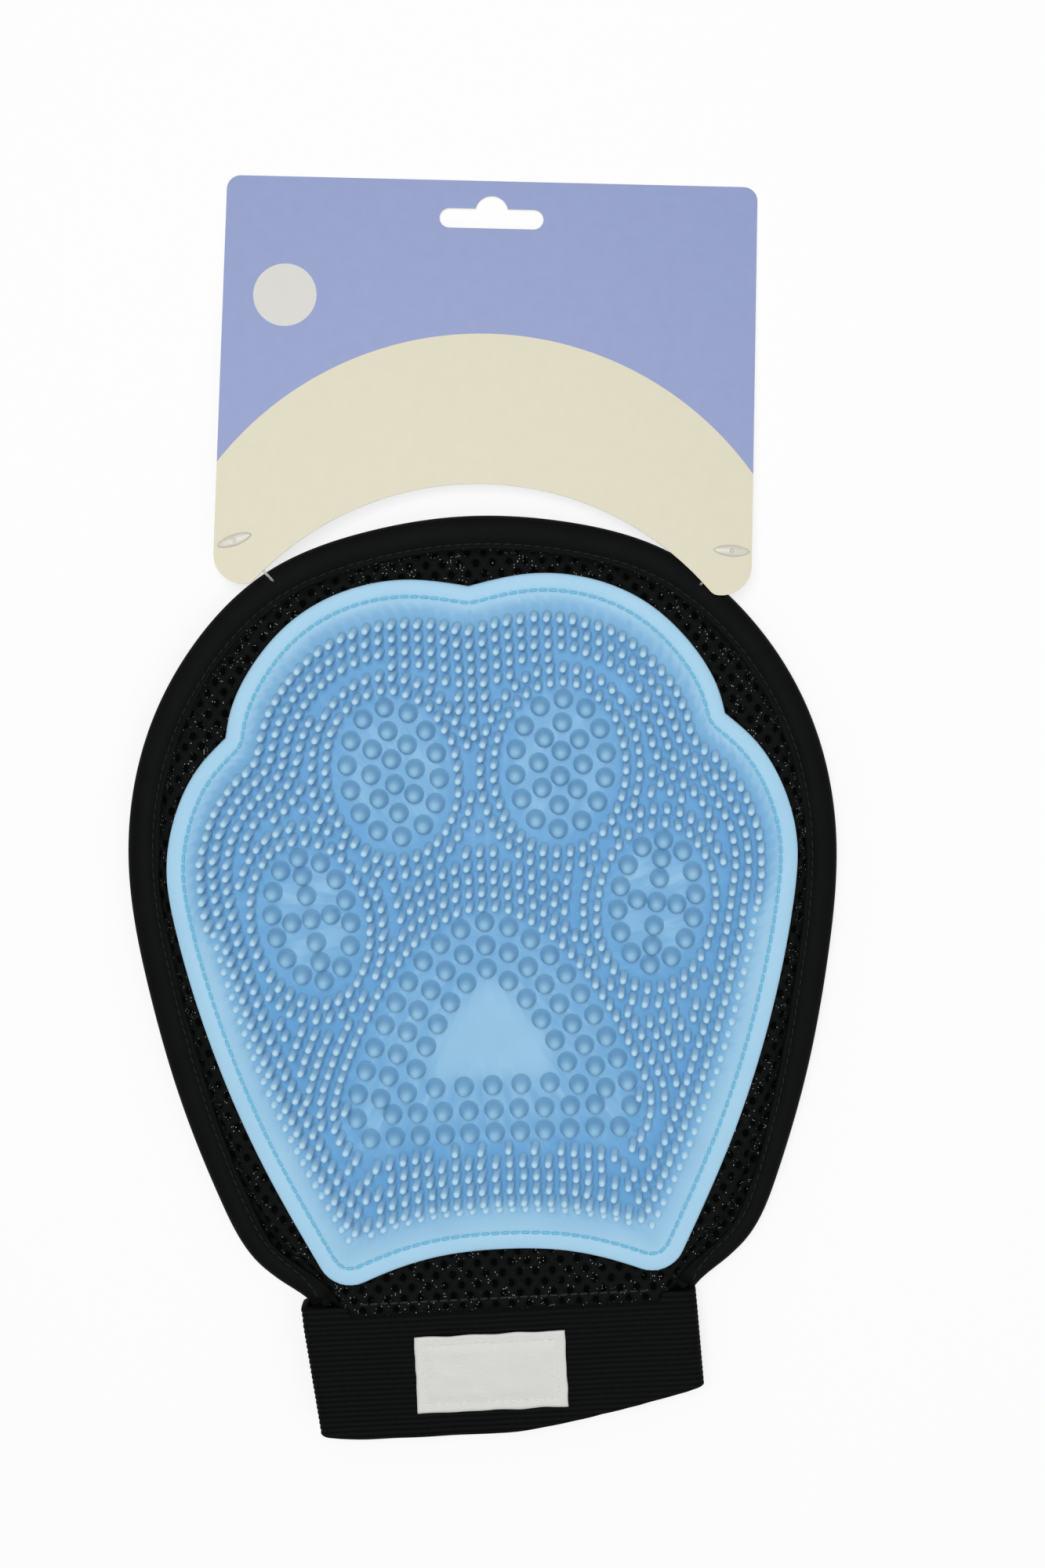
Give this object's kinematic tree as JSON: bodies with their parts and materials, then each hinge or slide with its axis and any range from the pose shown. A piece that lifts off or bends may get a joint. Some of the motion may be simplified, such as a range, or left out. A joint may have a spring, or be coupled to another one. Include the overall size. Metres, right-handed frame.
{
  "type": "pet grooming mitt",
  "caption": "Flat mesh mitt with a moulded rubber pad of pins and nubs on its palm, an elastic wrist band, edge binding and a hanging header card.",
  "frame": {"origin": "on the flat outer face of the back panel, on the mitt's middle line", "axes": "+X across the hand, +Y from the wrist to the fingertips and the header card, +Z out through the pad's pins"},
  "size_m": [0.1894, 0.3377, 0.0172],
  "materials": {
    "blue_silicone": "satin moulded silicone",
    "spacer_mesh": "knitted spacer mesh with oval holes",
    "binding_tape": "smooth folded stretch tape",
    "elastic_webbing": "ribbed elastic",
    "black_thread": "sewing thread",
    "blue_thread": "sewing thread",
    "white_thread": "sewing thread",
    "label_satin": "woven satin",
    "printed_card": "printed and coated",
    "clear_tag": "translucent moulded nylon"
  },
  "bodies": {
    "mitt": {"back_mesh_panel": "spacer_mesh", "front_mesh_panel": "spacer_mesh", "edge_binding": "binding_tape", "binding_stitching": "black_thread", "silicone_pad": "blue_silicone", "pad_stitching": "blue_thread", "wrist_seam_stitching": "black_thread", "wrist_band": "elastic_webbing", "woven_label": "label_satin", "label_stitching": "white_thread", "left_tag_filament": "clear_tag", "right_tag_filament": "clear_tag", "left_tag_t_bar": "clear_tag", "right_tag_t_bar": "clear_tag"},
    "header_card": {"header_card": "printed_card", "left_tag_paddle": "clear_tag", "right_tag_paddle": "clear_tag"}
  },
  "joints": [
    {"name": "header_card_swing", "type": "hinge", "parent": "mitt", "child": "header_card", "pos_m": [0.0034, 0.0853, 0.0087], "axis": [0.9973, -0.0732, 0], "range_deg": [0, 120], "deforming": ["left_tag_filament", "right_tag_filament"]}
  ]
}
